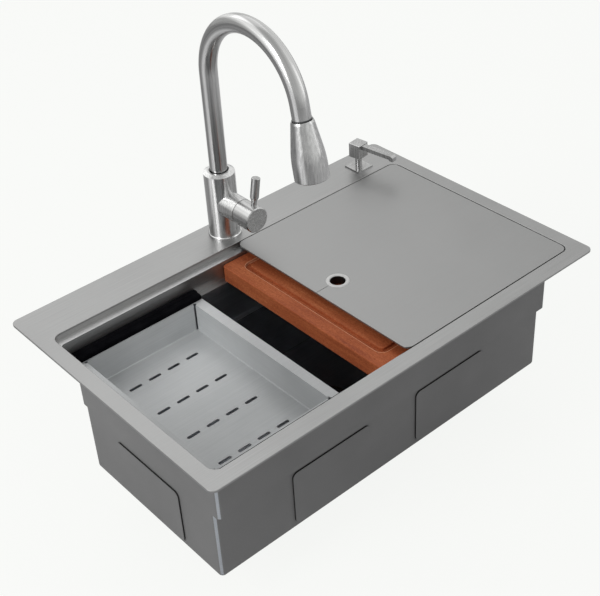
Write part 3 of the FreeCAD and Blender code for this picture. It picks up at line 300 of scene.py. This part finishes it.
def bowl_steel(name, level, tier, tint=(0, 0, 0)):
    """Brushed steel inside a tier of the bowl, sprayed damping coat outside it."""
    finish = Finish(name)
    place = finish.place()
    facing = finish.axes(finish.facing())
    end_face = abs(facing[0]) > FACES_AN_AXIS
    lines = (drawn_lines(finish, place, "X", *BELT_MARKS) * (1.0 - end_face)
             + drawn_lines(finish, place, "Y", *BELT_MARKS) * end_face)
    cloud = finish.noise(place, 9.0, 4.0)
    steel = finish.blend(finish.span(lines + cloud, 0.7, 1.3),
                         grey(level * 0.86, tint), grey(level * 1.12, tint))
    coat, speckle = sprayed_coat(finish, place)
    outside = outside_of(tier, finish.axes(place))
    rough = finish.span(lines + cloud, 0.7, 1.3, 0.36, 0.50)
    height = lines * (1.0 - outside) + speckle * outside
    return finish.surface({
        "Base Color": finish.blend(outside, steel, coat),
        "Metallic": 1.0 - outside,
        "Roughness": rough * (1.0 - outside) + COAT_ROUGHNESS * outside,
        "Normal": finish.bump(height, 0.14, 0.0003),
    })


def round_the_arch(finish, place):
    """Position across the spout's tube, the same all the way up and over."""
    x, y, z = finish.axes(place)
    over = (z - LEG_TOP).larger(0.0)
    out = y - (TAP_Y - ARC_RADIUS)
    away = finish.node("Math", {0: out * out + over * over}, operation="SQRT")
    return finish.node("CombineXYZ", {0: x, 1: away, 2: z})


def tap_steel(name, level, roughness=0.24, along="Z", arch=False):
    """Satin steel brushed along a turned piece: fine lines run up its length. Painted shade and
    a painted highlight: faces turned from the light are painted darker, and a light streak is
    painted on the face that meets it."""
    finish = Finish(name)
    place = finish.place()
    way = round_the_arch(finish, place) if arch else place
    lines = drawn_lines(finish, way, along, TURNED_MARKS, 0.0 if arch else 5.0)
    cloud = finish.noise(place, 30.0, 3.0)
    shade = finish.span(lines * 0.85 + cloud * 0.15, 0.36, 0.64)
    steel = finish.blend(shade, grey(level * 0.84), grey(level * 1.12))
    across = finish.axes(finish.facing())
    side = across[0] * SIGHT_RIGHT[0] + across[1] * SIGHT_RIGHT[1]
    # painted highlight and painted shade: the steel's colour scaled by which way a face turns
    # across the main view
    painted_light_bands = finish.ramp(finish.span(side, -1.0, 1.0),
                       [(turn, (share, share, share)) for turn, share in TAP_PAINTED_LIGHT_SHARES])
    return finish.surface({
        "Base Color": finish.stretched(steel, painted_light_bands),
        "Metallic": 1.0,
        "Roughness": finish.span(lines, 0.3, 0.7, roughness - 0.03, roughness + 0.05),
        "Anisotropic": 0.35,
        "Anisotropic Rotation": 0.25,
        "Normal": finish.bump(lines, 0.02, 0.0001),
    })


# ---- rubber, plastic and brass ------------------------------------------------------

def moulded(name, colour, roughness, grain=0.10, sheen=0.5):
    """Moulded plastic or rubber with a fine grain and slight scuffs."""
    finish = Finish(name)
    place = finish.place()
    pores = finish.noise(place, MOULD_GRAIN, 2.0)
    scuffs = finish.noise(place, SCUFF_GRAIN, 4.0, 0.65)
    light = tuple(min(1.0, part * 1.18 + 0.003) for part in colour)
    dark = tuple(part * 0.84 for part in colour)
    return finish.surface({
        "Base Color": finish.blend(finish.span(scuffs, 0.35, 0.65), (*dark, 1.0), (*light, 1.0)),
        "Roughness": finish.span(scuffs, 0.3, 0.7, roughness - 0.06, roughness + 0.08),
        "Specular IOR Level": sheen,
        "Normal": finish.bump(pores, grain, 0.0002),
    })


def finger_ring(name):
    """Pale moulded ring whose sleeve, below its top, is painted black as painted shade for the
    dark inside of the hole.
    """
    finish = Finish(name)
    place = finish.place()
    height = finish.axes(place)[2]
    # painted shade: below the top the ring is black for the dark of the hole
    sleeve = height < DECK_TOP - 0.0002
    scuffs = finish.noise(place, SCUFF_GRAIN, 4.0, 0.65)
    pores = finish.noise(place, MOULD_GRAIN, 2.0)
    pale = finish.blend(finish.span(scuffs, 0.35, 0.65),
                        (0.56, 0.56, 0.55, 1.0), (0.68, 0.68, 0.67, 1.0))
    return finish.surface({
        "Base Color": finish.blend(sleeve, pale, (0.004, 0.004, 0.004, 1.0)),
        "Roughness": finish.span(scuffs, 0.3, 0.7, 0.36, 0.48),
        "Normal": finish.bump(pores, 0.05, 0.0002),
    })


def pad_rubber(name, edge_level=0.012):
    """Damping sheet sprayed with the bowl's coat on its face, black at its edges."""
    finish = Finish(name)
    place = finish.place()
    x, y, z = finish.axes(place)
    side_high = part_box("side_sound_pads")[1][0]
    front_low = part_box("front_sound_pads")[0][1]
    back_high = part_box("back_sound_pads")[1][1]
    floor_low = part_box("floor_sound_pads")[0][2]
    skin = 0.0004
    face = (abs(x) > side_high - skin).larger(y < front_low + skin)
    face = face.larger(y > back_high - skin).larger(z < floor_low + skin)
    coat, speckle = sprayed_coat(finish, place)
    return finish.surface({
        "Base Color": finish.blend(face, grey(edge_level), coat),
        "Roughness": COAT_ROUGHNESS + (1.0 - face) * 0.15,
        "Normal": finish.bump(speckle, 0.14, 0.0003),
    })


def turned_brass(name):
    """Brass with fine lines round it and a warm tarnish."""
    finish = Finish(name)
    place = finish.place()
    lines = drawn_lines(finish, place, "Z", 60.0, 2200.0)
    tarnish = finish.noise(place, 60.0, 4.0)
    return finish.surface({
        "Base Color": finish.ramp(finish.span(tarnish + lines * 0.3, 0.4, 0.9), (
            (0.0, (0.30, 0.18, 0.06)), (0.5, (0.58, 0.40, 0.15)), (1.0, (0.72, 0.54, 0.25)))),
        "Metallic": 1.0,
        "Roughness": finish.span(lines, 0.3, 0.7, 0.26, 0.40),
        "Normal": finish.bump(lines, 0.35, 0.0004),
    })


def groove_line(finish, axes, inset=0.020, corner=0.0128, half=0.0006):
    """Mask of a rounded outline on the board's top, a distance in from its edges."""
    low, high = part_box("cutting_board")
    reach = []
    for axis in (0, 1):
        middle = (low[axis] + high[axis]) / 2
        straight = (high[axis] - low[axis]) / 2 - inset - corner
        reach.append((abs(axes[axis] - middle) - straight).larger(0.0))
    square = reach[0] * reach[0] + reach[1] * reach[1]
    away = finish.node("Math", {0: square}, operation="SQRT")
    return abs(away - corner) < half


def oiled_wood(name):
    """Reddish brown board with a fine speckle, faint long figure and pores, and a pale line
    painted along its groove as a painted highlight on the groove's edge."""
    finish = Finish(name)
    place = finish.place()
    axes = finish.axes(place)
    sway = finish.noise(finish.stretched(place, (24.0, 5.0, 24.0)), 1.0, 3.0)
    figure = finish.noise(finish.stretched(place, (160.0, 9.0, 160.0)), 1.0, 4.0, 0.6)
    speckle = finish.noise(finish.stretched(place, (1.0, 0.45, 1.0)), 620.0, 3.0, 0.7)
    tone = finish.span(sway * 0.36 + figure * 0.30 + speckle * 0.42, 0.38, 0.72)
    pores = finish.noise(finish.stretched(place, (1500.0, 90.0, 1500.0)), 1.0, 2.0)
    pore = finish.span(pores, 0.60, 0.70)
    colour = finish.ramp(tone, (
        (0.0, (0.200, 0.042, 0.016)),
        (0.35, (0.330, 0.080, 0.029)),
        (0.65, (0.440, 0.122, 0.046)),
        (1.0, (0.590, 0.205, 0.084)),
    ))
    grain = finish.blend(pore * 0.5, colour, (0.120, 0.024, 0.010, 1.0))
    # painted highlight: a pale line along the groove's edge
    groove_painted_highlight = groove_line(finish, axes)
    return finish.surface({
        "Base Color": finish.blend(groove_painted_highlight * 0.7, grain, (0.90, 0.46, 0.27, 1.0)),
        "Roughness": finish.span(figure, 0.3, 0.7, 0.48, 0.60),
        "Specular IOR Level": 0.15,
        "Normal": finish.bump(speckle * 0.5 + pore * -0.7, 0.22, 0.0004),
    })


def braided_hose(name):
    """Black braid round the hose inside the spout."""
    finish = Finish(name)
    place = finish.place()
    x, y, z = finish.axes(place)
    strands = []
    for way in (1.0, -1.0):
        diagonal = (y + z) * 900.0 + x * 900.0 * way
        strands.append(diagonal.maths("SINE", diagonal))
    weave = finish.span(strands[0].larger(strands[1]), -0.2, 1.0)
    return finish.surface({
        "Base Color": finish.blend(weave, (0.012, 0.012, 0.013, 1.0), (0.07, 0.07, 0.075, 1.0)),
        "Roughness": finish.span(weave, 0.0, 1.0, 0.62, 0.42),
        "Normal": finish.bump(weave, 0.5, 0.0005),
    })


finishes = {
    "deck": sheet_steel("deck brushed steel", DECK_LEVEL),
    "cover": sheet_steel("cover fine brushed steel", 0.29, 0.46, marks=0.03, clouds=0.04),
    # painted light and shade: the colander's walls and its back painted brighter, its floor a
    # little darker
    "colander": sheet_steel("colander satin steel", 0.40, marks=0.05, clouds=0.10,
                            tint=(-0.010, 0.0, 0.004), metal=0.25, painted_upright_share=0.10,
                            painted_rear_share=0.45),
    "ledge": bowl_steel("recess steel", 0.44, "ledge_frame"),
    "wall": bowl_steel("upper wall steel", 0.40, "upper_wall"),
    # painted light: the deeper tiers' steel is set brighter than the upper wall's, standing in
    # for light that barely reaches into the bowl
    "band": bowl_steel("middle wall steel", 0.56, "bowl_band", DEEP_BOWL_SHADE_TINT),
    "pan": bowl_steel("lower bowl steel", 0.56, "bowl_pan", DEEP_BOWL_SHADE_TINT),
    "floor": bowl_steel("bowl floor steel", 0.50, "bowl_floor", DEEP_BOWL_SHADE_TINT),
    "tap": tap_steel("tap satin steel", 0.54),
    "spout": tap_steel("spout satin steel", 0.54, arch=True),
    # painted light: the column's steel is set brighter than the head's and the spout's, for how
    # the light falls on it
    "column": tap_steel("tap column satin steel", 0.68),
    "lever": tap_steel("lever satin steel", 0.56, along="Y"),
    "fitting": tap_steel("drain satin steel", 0.50, 0.28),
    "pads": pad_rubber("damping sheet"),
    "black rubber": moulded("black seal rubber", (0.018, 0.018, 0.019), 0.60, 0.16),
    "black plastic": moulded("black moulded plastic", (0.002, 0.002, 0.003), 0.60, 0.12, 0.02),
    "grey plastic": moulded("grey jet face", (0.055, 0.055, 0.058), 0.50, 0.12),
    "pale plastic": finger_ring("pale finger ring"),
    "white plastic": moulded("white moulded plastic", (0.72, 0.73, 0.72), 0.42, 0.06),
    "brass": turned_brass("turned brass"),
    "wood": oiled_wood("oiled red-brown wood"),
    "hose": braided_hose("black hose braid"),
}

FINISH_OF = {
    "deck": ["deck_panel"],
    "cover": ["cover_panel"],
    "colander": ["colander_tray"],
    "ledge": ["ledge_frame"],
    "wall": ["upper_wall"],
    "band": ["bowl_band"],
    "pan": ["bowl_pan"],
    "floor": ["bowl_floor"],
    "column": ["tap_base_ring", "tap_body"],
    "spout": ["spout_tube"],
    "tap": ["spray_shell", "lever_pin", "pump_head", "pump_nozzle", "pump_plate", "pump_stem"],
    "lever": ["lever_cap"],
    "fitting": ["drain_cup", "strainer_basket", "basket_stem", "basket_knob",
                "tap_steel_washer", "drain_washer", "cartridge_pin", "lever_grub_screw",
                "pump_spring", "cartridge_stem", "pump_shank"],
    "pads": ["front_sound_pads", "back_sound_pads", "side_sound_pads", "floor_sound_pads"],
    "black rubber": ["rim_seal", "drain_gasket", "basket_stopper", "tap_rubber_washer",
                     "spout_o_ring", "pump_gasket"],
    "black plastic": ["colander_grips", "drain_nut", "pump_nut", "spray_core"],
    "grey plastic": ["spray_face", "dock_collar"],
    "pale plastic": ["cover_grommet"],
    "white plastic": ["lower_spout_bush", "upper_spout_bush", "cartridge_housing",
                      "cartridge_rotor", "pump_barrel", "dip_tube", "soap_bottle"],
    "brass": ["tap_shank", "tap_nut", "supply_tails", "cartridge_nut"],
    "wood": ["cutting_board"],
    "hose": ["spray_hose"],
}


def wear(piece, finish):
    """Put one of the finishes on a piece."""
    piece.data.materials.clear()
    piece.data.materials.append(finishes[finish])


for finish_name, members in FINISH_OF.items():
    for member in members:
        wear(nodes[member], finish_name)


# ---- pieces made here -------------------------------------------------------------------

def deselect():
    bpy.ops.object.select_all(action="DESELECT")


def settle(piece, name):
    """Name a new piece and put its place into its mesh."""
    piece.name = name
    deselect()
    piece.select_set(True)
    bpy.context.view_layer.objects.active = piece
    bpy.ops.object.transform_apply(location=True, rotation=True, scale=True)


def start_hose(place, turn):
    """First ring of a run of hose, left open in edit mode."""
    deselect()
    bpy.ops.mesh.primitive_circle_add(vertices=32, radius=HOSE_RADIUS, location=place,
                                      rotation=(turn, 0.0, 0.0))
    hose = bpy.context.object
    bpy.ops.object.mode_set(mode="EDIT")
    bpy.ops.mesh.select_mode(type="VERT")
    bpy.ops.mesh.select_all(action="SELECT")
    return hose


def lengthen_hose(rings, run):
    """Draws the open end on along a straight run, in equal steps."""
    step = [part / rings for part in run]
    for ring in range(rings):
        bpy.ops.mesh.extrude_region_move(TRANSFORM_OT_translate={"value": step})


def finish_hose(hose, name):
    """Gives an open run of hose its wall, its place and its braid."""
    bpy.ops.mesh.select_all(action="SELECT")
    bpy.ops.mesh.remove_doubles(threshold=0.00001)
    bpy.ops.mesh.normals_make_consistent(inside=False)
    bpy.ops.object.mode_set(mode="OBJECT")
    settle(hose, name)
    wall = hose.modifiers.new("wall", "SOLIDIFY")
    wall.thickness = HOSE_RADIUS - HOSE_BORE
    wall.offset = -1.0
    bpy.ops.object.modifier_apply(modifier="wall")
    bpy.ops.object.shade_smooth_by_angle(angle=math.radians(40.0))
    wear(hose, "hose")
    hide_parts("spray_hose")
    return hose


def make_spray_hose():
    """Braided hose from the column, up the leg and round the arc to the spout's end."""
    hose = start_hose((TAP_X, TAP_Y, HOSE_START), 0.0)
    lengthen_hose(24, (0.0, 0.0, LEG_TOP - HOSE_START))
    bpy.ops.mesh.spin(steps=72, angle=-ARC_TURN, center=(TAP_X, TAP_Y - ARC_RADIUS, LEG_TOP),
                      axis=(1.0, 0.0, 0.0))
    return finish_hose(hose, "braided_spray_hose")


def make_hose_end():
    """Last short run of hose, from the spout's end into the head, in fine steps."""
    hose = start_hose(SPOUT_END, ARC_TURN)
    lengthen_hose(12, HOSE_TAIL_RUN)
    return finish_hose(hose, "braided_hose_end")


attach(make_spray_hose(), "spout")
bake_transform(make_hose_end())


# ---- studio -------------------------------------------------------------------------------

def add_lamp(name, size, place, aim, power):
    """Rectangular soft lamp pointed at a spot."""
    data = bpy.data.lights.new(name, "AREA")
    data.shape = "RECTANGLE"
    data.size, data.size_y = size
    data.energy = power
    lamp = bpy.data.objects.new(name, data)
    bpy.context.scene.collection.objects.link(lamp)
    lamp.location = place
    lamp.rotation_euler = (Vector(aim) - Vector(place)).to_track_quat("-Z", "Y").to_euler()
    lamp.visible_camera = False


def make_floor():
    """Pale floor under the object, with its soft shadow."""
    deselect()
    bpy.ops.mesh.primitive_grid_add(x_subdivisions=8, y_subdivisions=8, size=14.0,
                                    location=(0.0, 0.0, FLOOR_HEIGHT))
    floor = bpy.context.object
    settle(floor, "studio_floor")
    finish = Finish("pale studio floor")
    path = finish.node("LightPath", output="Is Camera Ray")
    paint = finish.node("BsdfDiffuse", {"Color": (0.80, 0.80, 0.80, 1.0), "Roughness": 0.5})
    glow = finish.node("Emission", {"Color": (0.985, 0.995, 0.975, 1.0), "Strength": 1.0})
    shown = finish.node("MixShader", {0: path * 0.90, 1: paint, 2: glow})
    finish.node("OutputMaterial", {"Surface": shown})
    floor.data.materials.append(finish.owner)


def make_world():
    """White behind the object, and a pale studio round it."""
    finish = Finish("pale studio", bpy.data.worlds)
    height = finish.axes(finish.node("TexCoord", output="Generated"))[2]
    round_it = finish.ramp(height, ((0.0, (0.42, 0.42, 0.43)), (0.75, (1.0, 1.0, 1.0))))
    studio = finish.node("Background", {"Color": round_it, "Strength": 0.56})
    behind = finish.node("Background", {"Color": (0.995, 1.0, 0.985, 1.0), "Strength": 1.0})
    path = [finish.node("LightPath", output=ray)
            for ray in ("Is Camera Ray", "Is Glossy Ray", "Is Transmission Ray")]
    direct = path[0].larger(path[1]).larger(path[2])
    shown = finish.node("MixShader", {0: direct, 1: studio, 2: behind})
    finish.node("OutputWorld", {"Surface": shown})
    bpy.context.scene.world = finish.owner


make_floor()
make_world()
add_lamp("key", (0.7, 1.5), (-2.3, -0.1, 1.5), (0.0, 0.0, 0.0), 25.0)
add_lamp("top", (2.6, 2.4), (0.7, 1.9, 2.5), (0.0, 0.0, 0.0), 16.0)
add_lamp("strip", (0.7, 1.6), (1.6, -1.5, 0.9), (0.0, 0.0, 0.1), 2.5)


# ---- camera -----------------------------------------------------------------------------------

CAMERA_RISE = math.radians(36.29)
CAMERA_ROLL = math.radians(-3.62)
CAMERA_REACH = 1.5973
CAMERA_AIM = Vector((-0.0283, -0.0153, DECK_TOP))
FOCAL_PIXELS = 1180.65
FRAME_WIDE = 600.0


def make_camera():
    """Camera at the height, turn and slight tilt of the product view."""
    data = bpy.data.cameras.new("camera")
    data.sensor_fit = "HORIZONTAL"
    data.sensor_width = 36.0
    data.lens = FOCAL_PIXELS * data.sensor_width / FRAME_WIDE
    data.clip_start = 0.05
    data.clip_end = 50.0
    camera = bpy.data.objects.new("camera", data)
    bpy.context.scene.collection.objects.link(camera)
    back = Vector((
        math.sin(CAMERA_TURN) * math.cos(CAMERA_RISE),
        -math.cos(CAMERA_TURN) * math.cos(CAMERA_RISE),
        math.sin(CAMERA_RISE),
    ))
    level = Vector((0.0, 0.0, 1.0)).cross(back).normalized()
    upward = back.cross(level)
    right = level * math.cos(CAMERA_ROLL) + upward * math.sin(CAMERA_ROLL)
    top = upward * math.cos(CAMERA_ROLL) - level * math.sin(CAMERA_ROLL)
    turn = Matrix((right, top, back)).transposed()
    camera.matrix_world = Matrix.Translation(CAMERA_AIM + back * CAMERA_REACH) @ turn.to_4x4()
    bpy.context.scene.camera = camera


make_camera()
bpy.context.scene.view_settings.view_transform = "Standard"
